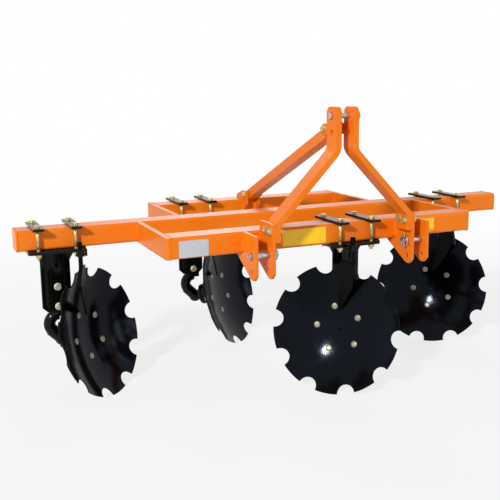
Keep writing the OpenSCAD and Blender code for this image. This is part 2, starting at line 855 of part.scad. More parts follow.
// Square bar and a blade that lies along the disc's face, its tip reaching into the dish
module scraper(u) {
  root = u_scraper(u) + [0, 0, scraper_top - scraper_bar_l - base_z];
  depth = disc_dish - scraper_rise * scraper_rise / (2 * sphere_r) - scraper_gap;
  tip = u_rim(u) + scraper_rise * u_up(u) - depth * u_n(u);
  run = tip - root;
  turn = u_side(u) * (disc_yaw + scraper_turn);
  along = run[0] * cos(turn) + run[1] * sin(turn);
  deep = run[1] * cos(turn) - run[0] * sin(turn);
  translate(root) post(scraper_bar, scraper_bar, scraper_bar_l);
  translate(root) rotate([atan2(-deep, run[2]), 0, turn]) leaf(along, norm([deep, run[2]]));
}

module scrapers() {
  color(black) for (u = UNITS) scraper(u);
}

// Places round a ring, the first one straight up
module around(n, r, turn) {
  for (i = [0 : n - 1])
    rotate([0, 0, turn + i * 360 / n]) translate([r, 0, 0]) children();
}

module hub_bolt_bores() {
  around(hub_bolt_n, hub_bolt_ring, bolt_turn) translate([0, 0, -2 * disc_dish])
    cylinder(d = hub_bolt_d, h = 2 * disc_dish);
}

// Dished shell cut to a round rim, then notched
module notched_disc() {
  difference() {
    intersection() {
      translate([0, 0, sphere_r - disc_dish]) difference() {
        sphere(r = sphere_r + disc_t, $fn = sphere_fn);
        sphere(r = sphere_r, $fn = sphere_fn);
      }
      translate([0, 0, -disc_dish - 2 * disc_t]) cylinder(r = disc_r, h = disc_dish + 4 * disc_t, $fn = 120);
    }
    around(notch_n, disc_r, -bolt_turn) translate([0, 0, -disc_dish])
      cylinder(r = notch_r, h = 2 * disc_dish);
    hub_bolt_bores();
  }
}

// Flange seated on the disc's back, barrel with a blind bore
module hub() {
  difference() {
    union() {
      translate([0, 0, -hub_face - hub_flange_t]) cylinder(r = hub_flange_r, h = 2 * hub_flange_t);
      translate([0, 0, -hub_back]) cylinder(r = hub_r, h = hub_l + hub_flange_t / 2);
      translate([0, 0, -hub_back]) cylinder(r = hub_r + hub_flange_t / 2, h = hub_flange_t);
    }
    translate([0, 0, sphere_r - disc_dish]) sphere(r = sphere_r + disc_t, $fn = sphere_fn);
    translate([0, 0, -hub_back - over]) cylinder(d = spindle_d + 2 * spindle_fit, h = hub_l + over);
    hub_bolt_bores();
  }
}

// Round-headed bolts through disc and flange, heads square to the dish, nuts behind
module hub_bolts() {
  head = hub_bolt_d * pin_cap_share;
  nut = hub_bolt_d * nut_share;
  slope = asin(hub_bolt_ring / sphere_r);
  seat = sphere_r * cos(slope) + disc_dish - sphere_r;
  // A flat head stands off the dish by the hollow under it
  lift = hub_head_d * hub_head_d / (8 * sphere_r) + spindle_fit;
  back = hub_face + hub_flange_t;
  around(hub_bolt_n, hub_bolt_ring, bolt_turn) {
    translate([0, 0, -back - nut]) cylinder(d = hub_bolt_d, h = back + nut - seat + head / 2);
    translate([0, 0, -back - nut]) hex(hub_bolt_d, nut);
    translate([0, 0, -seat]) rotate([0, -slope, 0]) translate([0, 0, lift])
      cylinder(d1 = hub_head_d, d2 = hub_head_d - 2 * head, h = head);
  }
}

module disc_lo() {
  color(black) at_turned(LO) notched_disc();
}

module disc_li() {
  color(black) at_turned(LI) notched_disc();
}

module disc_ri() {
  color(black) at_turned(RI) notched_disc();
}

module disc_ro() {
  color(black) at_turned(RO) notched_disc();
}

module hub_lo() {
  color(black) at_turned(LO) hub();
}

module hub_li() {
  color(black) at_turned(LI) hub();
}

module hub_ri() {
  color(black) at_turned(RI) hub();
}

module hub_ro() {
  color(black) at_turned(RO) hub();
}

module bolts_lo() {
  color(zinc) at_turned(LO) hub_bolts();
}

module bolts_li() {
  color(zinc) at_turned(LI) hub_bolts();
}

module bolts_ri() {
  color(zinc) at_turned(RI) hub_bolts();
}

module bolts_ro() {
  color(zinc) at_turned(RO) hub_bolts();
}

main_beam();
beam_caps();
front_bar();
rear_bar();
front_sides();
rear_sides();
hitch_outer();
hitch_inner();
lower_pins();
clips();
mast_left();
mast_right();
mast_bolts();
top_pin();
stay();
stay_bracket();
stay_bolts();
clamp_plates();
clamp_bolts();
base_plates();
legs();
leg_bolts();
arms();
scraper_blocks();
scrapers();
disc_lo();
disc_li();
disc_ri();
disc_ro();
hub_lo();
hub_li();
hub_ri();
hub_ro();
bolts_lo();
bolts_li();
bolts_ri();
bolts_ro();
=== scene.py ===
import bpy
import json
import math
import random
from mathutils import Matrix, Vector


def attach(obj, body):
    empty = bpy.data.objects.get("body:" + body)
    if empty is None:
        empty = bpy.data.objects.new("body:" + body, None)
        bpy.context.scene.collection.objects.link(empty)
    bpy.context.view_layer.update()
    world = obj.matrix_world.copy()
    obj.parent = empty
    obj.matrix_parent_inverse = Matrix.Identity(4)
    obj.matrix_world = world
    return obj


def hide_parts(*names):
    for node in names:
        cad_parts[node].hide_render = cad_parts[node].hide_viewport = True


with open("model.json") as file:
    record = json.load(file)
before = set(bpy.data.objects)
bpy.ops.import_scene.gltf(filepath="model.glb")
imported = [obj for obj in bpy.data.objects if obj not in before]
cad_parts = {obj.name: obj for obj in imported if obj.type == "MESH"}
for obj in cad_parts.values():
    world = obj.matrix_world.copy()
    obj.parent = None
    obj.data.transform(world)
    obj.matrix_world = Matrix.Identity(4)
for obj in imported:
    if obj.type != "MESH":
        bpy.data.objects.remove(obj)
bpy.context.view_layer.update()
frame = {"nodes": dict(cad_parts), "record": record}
rng = random.Random(11)
MM = 0.001

# Sizes of the part in mm, repeated from its source
BEAM_L, TUBE_W, TUBE_H, TUBE_ROUND, CAP_T = 2800, 130, 100, 14, 8
FRONT_L, FRONT_REACH, REAR_L, REAR_REACH, SIDE_T = 1650, 481, 1180, 495, 25
DISC_R, DISC_T, DISH, YAW, TILT = 330, 6, 85, math.radians(45), math.radians(14.4)
KNUCKLE_REACH, KNUCKLE_SIDE, DISC_DROP = 245, 10, 562
HUB_RING, HUB_BOLT, HUB_HEAD, HUB_FLANGE_T, HUB_R, HUB_BOLTS = 115, 16, 34, 14, 55, 5
CLAMP_PITCH, CLAMP_T, CLAMP_BOLT, CLAMP_GAP, BASE_T = 175, 12, 16, 10, 15
LEG_W, LEG_D, LEG_T, LEG_L, LEG_BOLT, LEG_RISE, LEG_PITCH, SHANK_D = 150, 90, 14, 372, 20, 38, 104, 45
GUSSET_L, TAIL_SHARE, SHANK_W, LEG_BACK = 104, 0.75, 70, 202.5
HITCH_SPREAD, CLEVIS, HITCH_T, HITCH_REACH, HITCH_RISE = 825, 70, 15, 142, 47
PIN_DROP, MAST_RISE, MAST_W, MAST_T, MAST_GAP, MAST_BOLT = 95, 610, 90, 28, 62, 18
STAY_H, STAY_PLATE, STAY_DROP, STAY_FOOT_RISE, STAY_BOLT = 50, 14, 62, 28, 18
CLAMPS = {"lo": (1, -1216, 35), "li": (1, -346, 70), "ri": (-1, 125, 132), "ro": (-1, 1020, 180)}
TURNS = {"lo": 22, "li": 25, "ri": 14, "ro": 25}

# Shares of a bolt's diameter: heights of washer, head and nut, thread pitch, tails of the disc and leg bolts
WASHER_T, HEAD_H, NUT_H, PITCH, HUB_TAIL, LEG_TAIL = 0.15, 0.65, 0.8, 0.125, 0.98, 0.9
# Shares of a bolt's diameter: corner radius of a hexagon, radius of a washer, height of a cup head
HEX_R, WASHER_R, CUP_H = 0.9, 0.99, 0.4
# Share of a thread's radius at its root, and the number of sides of threads, cup heads and rivets
THREAD_ROOT, THREAD_SIDES, CUP_SIDES, RIVET_SIDES = 0.88, 20, 28, 12
# Plain lengths before the threads, and the clamp bolts' length past the base plates
CLAMP_PLAIN, LEG_PLAIN, MAST_PLAIN, CLAMP_TAIL = 104, 30, 20, 24.5
# Plain share of the stay bolts, and height of the mast bolts as a share of the hitch plates' rise
STAY_PLAIN, MAST_BOLT_RISE = 0.7, 0.25
# Radii of the weld beads: at plates, at the stay and legs, flush with tubes, round end plates, round hubs
WELD, WELD_SMALL, WELD_FLUSH, WELD_CAP, WELD_HUB = 4.5, 4.0, 2.6, 2.4, 5.0
# Where the beads at the stay bracket and the legs start and end
BRACKET_SHARE, GUSSET_IN, TAIL_IN, SHANK_GAP, CHEEK_RISE, CHEEK_DROP = 0.7, 6, 3, 0.5, 40, 8
# Plate and panels on the front bar: left and right ends, then depths of lower and upper edge under its top
PLATE, PLATE_T, PLATE_ROUND, RIVET_IN, RIVET_R, RIVET_H = (-768, -628, 94, 18), 1.2, 4.0, 6, 3.0, 1.6
PANELS, PANEL_T, PANEL_ROUND = ((-261, -31, 88, 12), (516, 596, 87, 16)), 0.5, 2.0

# Places that follow from the sizes
SPHERE_R = (DISC_R ** 2 + DISH ** 2) / (2 * DISH)
RIM_T = math.sqrt((SPHERE_R + DISC_T) ** 2 - DISC_R ** 2) - SPHERE_R + DISH
RIM_Z = DISC_R * math.cos(TILT) + RIM_T * math.sin(TILT)
TOP_Z = RIM_Z + DISC_DROP
UNDER_Z = TOP_Z - TUBE_H
BASE_Z = UNDER_Z - BASE_T
LEG_Z = BASE_Z - LEG_L
AXIS_SHARE = math.cos(YAW) * math.cos(TILT)
AHEAD = FRONT_REACH + TUBE_W / 2 + HITCH_REACH
BEHIND = REAR_REACH + LEG_BACK + (RIM_T - KNUCKLE_REACH) * AXIS_SHARE
BEHIND += DISC_R * math.sqrt(1 - AXIS_SHARE ** 2)
BEAM_Y = (AHEAD - BEHIND) / 2
FRONT_Y, REAR_Y = BEAM_Y - FRONT_REACH, BEAM_Y + REAR_REACH
FRONT_FACE, REAR_FACE = FRONT_Y - TUBE_W / 2, REAR_Y - TUBE_W / 2
HITCH_FRONT = FRONT_FACE - HITCH_REACH
TUBE_Y = {"lo": BEAM_Y, "li": REAR_Y, "ri": FRONT_Y, "ro": BEAM_Y}
CLAMP_Y = TUBE_W / 2 + CLAMP_GAP + CLAMP_BOLT / 2
MAST_Y = HITCH_FRONT + MAST_W / 2
INNER_X = HITCH_SPREAD / 2 - CLEVIS / 2 - HITCH_T
OUTER_X = HITCH_SPREAD / 2 + CLEVIS / 2
STAY_TOP = (MAST_Y + MAST_W / 2 + STAY_H / 2, TOP_Z - PIN_DROP + MAST_RISE - STAY_DROP)
STAY_FOOT = (REAR_FACE - STAY_H / 2, TOP_Z + STAY_FOOT_RISE)
HUB_FACE = DISH + DISC_T


def disc_matrix(k):
    """Frame of a disc in mm: origin at the rim's centre, Z towards its open side."""
    side, clamp, leg = CLAMPS[k]
    knuckle = Vector((clamp + leg + side * KNUCKLE_SIDE, TUBE_Y[k] + LEG_BACK,
                      RIM_Z - math.sin(TILT) * KNUCKLE_REACH))
    normal = Vector((side * math.sin(YAW) * math.cos(TILT), -AXIS_SHARE, math.sin(TILT)))
    turn = Matrix.Rotation(side * YAW, 4, "Z") @ Matrix.Rotation(math.pi / 2 - TILT, 4, "X")
    return Matrix.Translation(knuckle + KNUCKLE_REACH * normal) @ turn


# Materials, with the radii of rounded edges in metres and the width of the worn rim in mm

PAINT_EDGE, DISC_EDGE, METAL_EDGE, RIM_BAND = 0.003, 0.002, 0.0012, 18


def lin(r, g, b):
    """Linear colour from 0 to 255 screen values."""
    def one(v):
        v /= 255
        return v / 12.92 if v <= 0.04045 else ((v + 0.055) / 1.055) ** 2.4
    return one(r), one(g), one(b), 1.0


class Build:
    """Small helper round one material's nodes."""

    def __init__(self, name):
        self.mat = bpy.data.materials.new(name)
        self.mat.use_nodes = True
        self.tree = self.mat.node_tree
        self.tree.nodes.clear()
        out = self.node("ShaderNodeOutputMaterial")
        self.shader = self.node("ShaderNodeBsdfPrincipled")
        self.link(self.shader.outputs[0], out.inputs["Surface"])
        self.where = self.node("ShaderNodeTexCoord").outputs["Object"]

    def node(self, kind):
        return self.tree.nodes.new(kind)

    def link(self, a, b):
        self.tree.links.new(a, b)

    def put(self, **values):
        for key, value in values.items():
            self.shader.inputs[key.replace("_", " ")].default_value = value

    def feed(self, socket, output):
        self.link(output, self.shader.inputs[socket])

    def noise(self, scale, detail=3.0, rough=0.55, where=None):
        n = self.node("ShaderNodeTexNoise")
        n.inputs["Scale"].default_value = scale
        n.inputs["Detail"].default_value = detail
        n.inputs["Roughness"].default_value = rough
        self.link(where or self.where, n.inputs["Vector"])
        return n.outputs["Fac"]

    def ramp(self, fac, *stops):
        n = self.node("ShaderNodeValToRGB")
        e = n.color_ramp.elements
        while len(e) < len(stops):
            e.new(0.5)
        for item, (pos, colour) in zip(e, stops):
            item.position = pos
            item.color = colour if len(colour) == 4 else (*colour, 1.0)
        self.link(fac, n.inputs["Fac"])
        return n.outputs["Color"]

    def span(self, fac, lo, hi, start, end):
        n = self.node("ShaderNodeMapRange")
        n.inputs["From Min"].default_value = start
        n.inputs["From Max"].default_value = end
        n.inputs["To Min"].default_value = lo
        n.inputs["To Max"].default_value = hi
        self.link(fac, n.inputs["Value"])
        return n.outputs["Result"]

    def mix(self, fac, a, b):
        n = self.node("ShaderNodeMix")
        n.data_type = "RGBA"
        self.link(fac, n.inputs["Factor"])
        # In a colour mix, inputs 6 and 7 are the colours and output 2 is the result
        for socket, value in ((n.inputs[6], a), (n.inputs[7], b)):
            if isinstance(value, tuple):
                socket.default_value = value
            else:
                self.link(value, socket)
        return n.outputs[2]

    def times(self, a, b):
        n = self.node("ShaderNodeMath")
        n.operation = "MULTIPLY"
        n.use_clamp = True
        self.link(a, n.inputs[0])
        if isinstance(b, float):
            n.inputs[1].default_value = b
        else:
            self.link(b, n.inputs[1])
        return n.outputs[0]

    def rounded(self, radius):
        """Normal with its edges rounded, and a mask of those edges."""
        bevel = self.node("ShaderNodeBevel")
        bevel.samples = 6
        bevel.inputs["Radius"].default_value = radius
        flat = self.node("ShaderNodeNewGeometry")
        dot = self.node("ShaderNodeVectorMath")
        dot.operation = "DOT_PRODUCT"
        self.link(bevel.outputs["Normal"], dot.inputs[0])
        self.link(flat.outputs["Normal"], dot.inputs[1])
        return bevel.outputs["Normal"], self.span(dot.outputs["Value"], 0.0, 1.0, 0.96, 0.80)

    def up(self):
        """How far a surface faces up."""
        flat = self.node("ShaderNodeNewGeometry")
        parts = self.node("ShaderNodeSeparateXYZ")
        self.link(flat.outputs["Normal"], parts.inputs[0])
        return self.span(parts.outputs["Z"], 0.0, 1.0, 0.55, 0.98)

    def bump(self, height, strength, distance, normal=None):
        n = self.node("ShaderNodeBump")
        n.inputs["Strength"].default_value = strength
        n.inputs["Distance"].default_value = distance
        self.link(height, n.inputs["Height"])
        if normal is not None:
            self.link(normal, n.inputs["Normal"])
        self.feed("Normal", n.outputs["Normal"])


def paint(name, dark, main, light, bare, rough, dust, dust_share, wear, peel):
    """Sprayed paint: cloudy colour, orange peel, worn edges and a little dust on top."""
    b = Build(name)
    cloud = b.ramp(b.noise(2.6, 4.0), (0.25, dark), (0.5, main), (0.78, light))
    normal, edge = b.rounded(PAINT_EDGE)
    chips = b.ramp(b.noise(85.0, 5.0, 0.7), (0.52, (0, 0, 0)), (0.60, (1, 1, 1)))
    worn = b.times(b.times(edge, chips), wear)
    patches = b.ramp(b.noise(9.0, 6.0, 0.65), (0.42, (0, 0, 0)), (0.72, (1, 1, 1)))
    soil = b.times(b.times(b.up(), patches), dust_share)
    b.feed("Base Color", b.mix(worn, b.mix(soil, cloud, dust), bare))
    b.feed("Roughness", b.span(b.noise(36.0, 5.0), rough[0], rough[1], 0.3, 0.7))
    b.bump(b.noise(260.0, 2.0), peel, 0.0004, normal)
    return b


orange = paint("orange_paint", lin(225, 110, 14), lin(231, 118, 18), lin(236, 125, 23), lin(150, 78, 34),
               (0.27, 0.34), lin(220, 150, 92), 0.05, 0.30, 0.005)
orange.put(Specular_IOR_Level=0.18)

black = paint("black_paint", lin(6, 6, 6), lin(9, 9, 9), lin(13, 13, 12), lin(52, 49, 46),
              (0.11, 0.20), lin(70, 62, 52), 0.05, 0.40, 0.02)
black.put(Specular_IOR_Level=0.17)

blade = paint("black_blade", lin(4, 4, 4), lin(6, 6, 6), lin(9, 9, 9), lin(40, 38, 36),
              (0.30, 0.44), lin(70, 62, 52), 0.05, 0.30, 0.03)
blade.put(Specular_IOR_Level=0.06)


def disc_paint(k):
    """Gloss black over rolled steel: rings left by the spinning, navy patches and a blue specular tint as a
    painted reflection of blue sky, worn teeth.
    """
    b = Build(f"black_disc_{k}")
    m = disc_matrix(k)
    local = b.node("ShaderNodeMapping")
    local.vector_type = "TEXTURE"
    local.inputs["Location"].default_value = m.to_translation() * MM
    local.inputs["Rotation"].default_value = m.to_euler("XYZ")
    b.link(b.where, local.inputs["Vector"])
    rings = b.node("ShaderNodeTexWave")
    rings.wave_type = "RINGS"
    rings.rings_direction = "Z"
    rings.inputs["Scale"].default_value = 62.0
    rings.inputs["Distortion"].default_value = 1.4
    rings.inputs["Detail"].default_value = 3.0
    rings.inputs["Detail Scale"].default_value = 2.0
    b.link(local.outputs[0], rings.inputs["Vector"])
    flat = b.node("ShaderNodeVectorMath")
    flat.operation = "MULTIPLY"
    flat.inputs[1].default_value = (1.0, 1.0, 0.0)
    b.link(local.outputs[0], flat.inputs[0])
    radius = b.node("ShaderNodeVectorMath")
    radius.operation = "LENGTH"
    b.link(flat.outputs[0], radius.inputs[0])
    rim = b.span(radius.outputs["Value"], 0.0, 1.0, (DISC_R - RIM_BAND) * MM, DISC_R * MM)
    # Cloudy near-black whose navy patches are a painted reflection of blue sky
    cloud = b.ramp(b.noise(5.0, 5.0, 0.6, local.outputs[0]),
                   (0.3, lin(4, 5, 7)), (0.55, lin(7, 9, 14)), (0.8, lin(10, 15, 28)))
    normal, edge = b.rounded(DISC_EDGE)
    chips = b.ramp(b.noise(70.0, 5.0, 0.7), (0.50, (0, 0, 0)), (0.62, (1, 1, 1)))
    worn = b.times(b.times(edge, chips), 0.55)
    patches = b.ramp(b.noise(16.0, 6.0, 0.7), (0.45, (0, 0, 0)), (0.75, (1, 1, 1)))
    soil = b.times(b.times(rim, patches), 0.07)
    b.feed("Base Color", b.mix(worn, b.mix(soil, cloud, lin(92, 78, 62)), lin(96, 94, 92)))
    b.feed("Roughness", b.span(b.noise(24.0, 5.0, 0.6, local.outputs[0]), 0.06, 0.13, 0.3, 0.7))
    b.bump(rings.outputs["Fac"], 0.06, 0.0004, normal)
    # Blue specular tint: a painted sky-blue cast on the disc's reflections
    b.put(Specular_IOR_Level=0.12, Specular_Tint=(0.66, 0.78, 1.0, 1.0))
    return b


def plated(name, dark, main, light, rough, bump, metal=1.0):
    """Plated or bare metal with drawn marks and cloudy plating."""
    b = Build(name)
    cloud = b.ramp(b.noise(60.0, 4.0), (0.28, dark), (0.52, main), (0.76, light))
    normal, edge = b.rounded(METAL_EDGE)
    b.feed("Base Color", b.mix(b.times(edge, 0.35), cloud, light))
    b.feed("Roughness", b.span(b.noise(140.0, 5.0), rough[0], rough[1], 0.3, 0.7))
    b.bump(b.noise(900.0, 2.0), bump, 0.0003, normal)
    b.put(Metallic=metal)
    return b


zinc = plated("yellow_zinc", lin(160, 141, 86), lin(198, 182, 122), lin(226, 216, 172),
              (0.30, 0.46), 0.06, 0.62)
# Whiter zinc for the leg bolts, also painted lighter: painted light on heads that the leg's cheeks shade
white_zinc_painted_lit = plated("white_zinc_painted_lit", lin(190, 187, 160), lin(222, 219, 192), lin(242, 240, 222),
                    (0.26, 0.40), 0.05, 0.50)
pale_zinc = plated("pale_zinc", lin(124, 120, 100), lin(152, 148, 128), lin(180, 177, 158),
                   (0.26, 0.40), 0.06, 0.30)
bright = plated("bright_steel", lin(136, 136, 138), lin(186, 187, 190), lin(222, 223, 226),
                (0.20, 0.38), 0.10)
plate_metal = plated("plate_metal", lin(186, 190, 195), lin(190, 194, 199), lin(194, 198, 203),
                     (0.37, 0.41), 0.01, 0.35)

vinyl = Build("yellow_vinyl")
vinyl.feed("Base Color", vinyl.ramp(
    vinyl.noise(30.0, 4.0), (0.3, lin(242, 191, 14)), (0.55, lin(246, 198, 18)), (0.8, lin(248, 203, 26))))
vinyl.feed("Roughness", vinyl.span(vinyl.noise(180.0, 3.0), 0.26, 0.40, 0.3, 0.7))
vinyl.bump(vinyl.noise(500.0, 2.0), 0.06, 0.0003)

SLOTS = {"orange_paint": orange, "black_paint": black, "zinc": zinc, "bright_steel": bright}
OWN_LOOKS = {"scrapers": blade}
disc_looks = {k: disc_paint(k) for k in CLAMPS}
for part in frame["record"]["subparts"]:
    name, slot = part["node"], part["material_slot"]
    look = disc_looks[name[-2:]] if slot == "black_disc" else OWN_LOOKS.get(name, SLOTS[slot])
    obj = frame["nodes"][name]
    if not obj.material_slots:
        obj.data.materials.append(look.mat)
    for s in obj.material_slots:
        s.material = look.mat


# Mesh pieces

class Mesh:
    """Collects rings of points in mm into one mesh piece."""

    def __init__(self):
        self.verts, self.faces, self.smooth = [], [], []

    def loft(self, rings, matrix=None, caps=True, smooth=True):
        start = len(self.verts)
        n = len(rings[0])
        for ring in rings:
            for p in ring:
                v = Vector(p)
                self.verts.append((matrix @ v if matrix else v) * MM)
        for i in range(len(rings) - 1):
            for j in range(n):
                a, c = start + i * n, start + (i + 1) * n
                k = (j + 1) % n
                self.faces.append((a + j, a + k, c + k, c + j))
                self.smooth.append(smooth)
        if caps:
            last = start + (len(rings) - 1) * n
            self.faces.append(tuple(start + j for j in reversed(range(n))))
            self.faces.append(tuple(last + j for j in range(n)))
            self.smooth += [False, False]

    def piece(self, name, look, body, replaces=()):
        mesh = bpy.data.meshes.new(name)
        mesh.from_pydata([tuple(v) for v in self.verts], [], self.faces)
        mesh.polygons.foreach_set("use_smooth", self.smooth)
        mesh.materials.append(look.mat)
        mesh.validate()
        mesh.update()
        obj = bpy.data.objects.new(name, mesh)
        bpy.context.scene.collection.objects.link(obj)
        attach(obj, body)
        if replaces:
            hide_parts(*replaces)


def circle(r, z, n=24):
    return [(r * math.cos(2 * math.pi * i / n), r * math.sin(2 * math.pi * i / n), z) for i in range(n)]


def hexagon(r, z, limit=None, n=36):
    """Ring of a hexagon of corner radius r, cut to a circle where its chamfer is."""
    ring = []
    for i in range(n):
        a = 2 * math.pi * i / n
        wide = r * math.cos(math.pi / 6) / math.cos((a % (math.pi / 3)) - math.pi / 6)
        wide = min(wide, limit) if limit else wide
        ring.append((wide * math.cos(a), wide * math.sin(a), z))
    return ring


def hex_head(mesh, m, z, h, d, both=False):
    """Hexagon of a bolt or nut with its corners chamfered."""
    r = d * HEX_R
    low = [hexagon(r, z, r * 0.88), hexagon(r, z + h * 0.10, r * 0.97)] if both else [hexagon(r, z)]
    high = [hexagon(r, z + h * 0.90, r * 0.96), hexagon(r, z + h, r * 0.86)]
    mesh.loft(low + [hexagon(r, z + h * 0.2), hexagon(r, z + h * 0.78)] + high, m, smooth=False)


def washer(mesh, m, z, t, d):
    r, c = d * WASHER_R, t * 0.22
    rings = [circle(r - c, z), circle(r, z + c), circle(r, z + t - c), circle(r - c, z + t)]
    mesh.loft(rings, m, smooth=False)


def thread(mesh, m, z0, z1, d, pitch):
    """Bolt shank with its thread's ridges and a chamfered end."""
    r, rings, z = d / 2, [], z0
    while z < z1 - pitch:
        ridge = (r * THREAD_ROOT, z), (r, z + pitch * 0.45), (r, z + pitch * 0.60)
        rings += [circle(wide, high, THREAD_SIDES) for wide, high in ridge]
        z += pitch
    rings += [circle(r * THREAD_ROOT, z, THREAD_SIDES), circle(r * 0.80, z1, THREAD_SIDES)]
    mesh.loft(rings, m)


def full_bolt(mesh, m, grip, d, tail, thread_from):
    """Bolt along +Z: its head under z = 0, its nut beyond the grip, a washer at each end."""
    t, head, nut = d * WASHER_T, d * HEAD_H, d * NUT_H
    washer(mesh, m, -t, t, d)
    hex_head(mesh, m @ Matrix.Rotation(math.pi, 4, "X"), t, head - t * 0.5, d)
    mesh.loft([circle(d / 2, 0), circle(d / 2, thread_from)], m)
    washer(mesh, m, grip, t, d)
    thread(mesh, m, thread_from, grip + tail, d, d * PITCH)
    spin = Matrix.Rotation(rng.uniform(0, math.pi / 3), 4, "Z")
    hex_head(mesh, m @ spin, grip + t, nut - t * 0.5, d, both=True)


def along(point, axis, turn=0.0):
    """Matrix with Z along an axis."""
    q = Vector((0, 0, 1)).rotation_difference(Vector(axis))
    return Matrix.Translation(Vector(point)) @ q.to_matrix().to_4x4() @ Matrix.Rotation(turn, 4, "Z")


# Bolts that clamp the units to the tubes, heads on top
mesh = Mesh()
for k, (_, clamp, _) in CLAMPS.items():
    for sx in (-1, 1):
        for sy in (-1, 1):
            top = (clamp + sx * CLAMP_PITCH / 2, TUBE_Y[k] + sy * CLAMP_Y, TOP_Z + CLAMP_T)
            turn = rng.uniform(0, math.pi / 3)
            grip = CLAMP_T + TUBE_H + BASE_T
            full_bolt(mesh, along(top, (0, 0, -1), turn), grip, CLAMP_BOLT, CLAMP_TAIL, CLAMP_PLAIN)
mesh.piece("clamp_bolt_set", zinc, "frame", ("clamp_bolts",))

# Bolts through the legs and shanks, heads in front
mesh = Mesh()
for k, (_, clamp, leg) in CLAMPS.items():
    for i in (0, 1):
        y = TUBE_Y[k] + LEG_BACK + LEG_D / 2 - LEG_T - SHANK_D
        spot = (clamp + leg, y, LEG_Z + LEG_RISE + i * LEG_PITCH)
        m = along(spot, (0, 1, 0), rng.uniform(0, 1))
        full_bolt(mesh, m, SHANK_D + LEG_T, LEG_BOLT, LEG_BOLT * LEG_TAIL, LEG_PLAIN)
# The leg bolts' zinc is painted lighter, as painted light where the leg's cheeks shade them
mesh.piece("leg_bolt_set", white_zinc_painted_lit, "frame", ("leg_bolts",))

# Bolts at the mast's feet, heads towards the middle
mesh = Mesh()
for s in (-1, 1):
    for t in (-1, 1):
        spot = (s * (INNER_X - MAST_T), MAST_Y + t * MAST_W / 4, TOP_Z + HITCH_RISE * MAST_BOLT_RISE)
        m = along(spot, (s, 0, 0), rng.uniform(0, 1))
        full_bolt(mesh, m, MAST_T + HITCH_T, MAST_BOLT, MAST_BOLT, MAST_PLAIN)
mesh.piece("mast_bolt_set", zinc, "frame", ("mast_bolts",))

# Bolts at the two ends of the stay, heads on the left
mesh = Mesh()
for (y, z), wide in ((STAY_TOP, MAST_GAP + 2 * MAST_T), (STAY_FOOT, MAST_GAP + 2 * STAY_PLATE)):
    m = along((-wide / 2, y, z), (1, 0, 0), rng.uniform(0, 1))
    full_bolt(mesh, m, wide, STAY_BOLT, STAY_BOLT, wide * STAY_PLAIN)
mesh.piece("stay_bolt_set", zinc, "frame", ("stay_bolts",))

# Cup-head bolts of the discs, nuts behind the flanges
for k in CLAMPS:
    mesh = Mesh()
    slope = math.asin(HUB_RING / SPHERE_R)
    seat = SPHERE_R * math.cos(slope) + DISH - SPHERE_R
    lift = HUB_HEAD ** 2 / (8 * SPHERE_R) + 0.1
    back = HUB_FACE + HUB_FLANGE_T
    for i in range(HUB_BOLTS):
        turn = math.pi / 2 + math.radians(TURNS[k]) + i * 2 * math.pi / HUB_BOLTS
        m = disc_matrix(k) @ Matrix.Rotation(turn, 4, "Z") @ Matrix.Translation((HUB_RING, 0, 0))
        r, h = HUB_HEAD / 2, HUB_BOLT * CUP_H
        # Dome square to the dish, with a round dimple in its middle
        dome = [(r, 0), (r, h * 0.15)]
        dome += [(r * math.cos(a), h * (0.15 + 0.85 * math.sin(a))) for a in (0.35, 0.65, 0.95, 1.13)]
        dome += [(r * 0.38, h * 0.88), (r * 0.34, h * 0.45)]
        seated = m @ Matrix.Translation((0, 0, -seat)) @ Matrix.Rotation(-slope, 4, "Y")
        rings = [circle(wide, high, CUP_SIDES) for wide, high in dome]
        mesh.loft(rings, seated @ Matrix.Translation((0, 0, lift)))
        mesh.loft([circle(HUB_BOLT / 2, -back), circle(HUB_BOLT / 2, -seat + 2)], m)
        flip = m @ Matrix.Translation((0, 0, -back)) @ Matrix.Rotation(math.pi, 4, "X")
        washer(mesh, flip, 0, HUB_BOLT * WASHER_T, HUB_BOLT)
        spin = Matrix.Rotation(rng.uniform(0, 1), 4, "Z")
        hex_head(mesh, flip @ spin, HUB_BOLT * WASHER_T, HUB_BOLT * HEAD_H, HUB_BOLT, both=True)
        thread(mesh, flip, 0, HUB_BOLT * HUB_TAIL, HUB_BOLT, HUB_BOLT * PITCH)
    mesh.piece(f"disc_bolt_set_{k}", pale_zinc, f"roller_{k}", (f"bolts_{k}",))


def bead(mesh, points, r, pitch=5.0, closed=False, up=(0.37, 0.21, 0.9)):
    """Weld bead along a line of points: a rippled, slightly uneven round run."""
    pts = [Vector(p) for p in points]
    if closed:
        pts.append(pts[0])
    path, steps = [], []
    for a, b in zip(pts, pts[1:]):
        n = max(2, int((b - a).length / (pitch / 4)))
        for i in range(n):
            path.append(a.lerp(b, i / n))
            steps.append((b - a).normalized())
    path.append(pts[-1])
    steps.append(steps[-1])
    rings, run, last = [], rng.uniform(0, 6), path[0]
    sides = 8
    for i, (p, d) in enumerate(zip(path, steps)):
        run += (p - last).length
        last = p
        side = d.cross(Vector(up)).normalized()
        over = side.cross(d).normalized()
        # Each ripple starts wide and narrows, and an open run tapers at its ends
        phase = (run / pitch) % 1.0
        wide = r * (0.86 + 0.22 * (1 - phase) ** 1.5 + rng.uniform(-0.03, 0.03))
        if not closed:
            ends = min(i, len(path) - 1 - i)
            wide *= min(1.0, 0.45 + ends * 0.2)
        rings.append([p + side * (wide * math.cos(a)) + over * (wide * math.sin(a))
                      for a in (2 * math.pi * j / sides for j in range(sides))])
    mesh.loft(rings, caps=not closed)


def tube_ring(x, y):
    """Points round a frame tube's outside at one place along X."""
    ring = []
    w, h = TUBE_W / 2 - TUBE_ROUND, TUBE_H / 2 - TUBE_ROUND
    for q, (sy, sz) in enumerate(((1, 1), (-1, 1), (-1, -1), (1, -1))):
        for i in range(5):
            a = math.pi / 2 * (q + i / 4)
            ring.append((x, y + sy * w + TUBE_ROUND * math.cos(a),
                         TOP_Z - TUBE_H / 2 + sz * h + TUBE_ROUND * math.sin(a)))
    return ring


